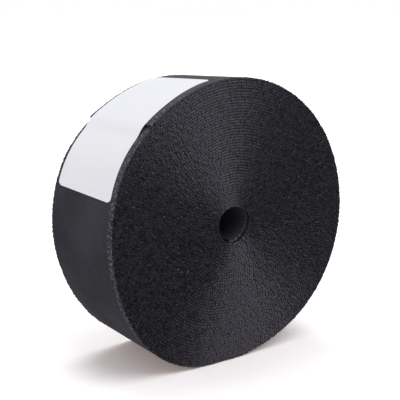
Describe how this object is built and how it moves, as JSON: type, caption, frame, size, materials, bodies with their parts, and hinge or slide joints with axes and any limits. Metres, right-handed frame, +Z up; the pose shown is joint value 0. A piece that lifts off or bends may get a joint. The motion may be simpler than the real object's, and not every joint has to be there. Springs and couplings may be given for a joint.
{
  "type": "roll of webbing",
  "caption": "Roll of black woven seat belt webbing wound on itself round an open centre hole, its outer end held down by a plain white label.",
  "frame": {"origin": "middle of the flat spot on the rim that the roll rests on, below its centre hole", "axes": "+Z up, +Y along the roll's axis from the end face seen first to the other end face, +X to the right as that face is seen"},
  "size_m": [0.1252, 0.048, 0.1236],
  "materials": {
    "webbing": "matt woven polyester with a slight sheen along the warp",
    "label": "smooth satin label stock"
  },
  "bodies": {
    "root": {"webbing_roll": "webbing", "label": "label"}
  },
  "joints": []
}
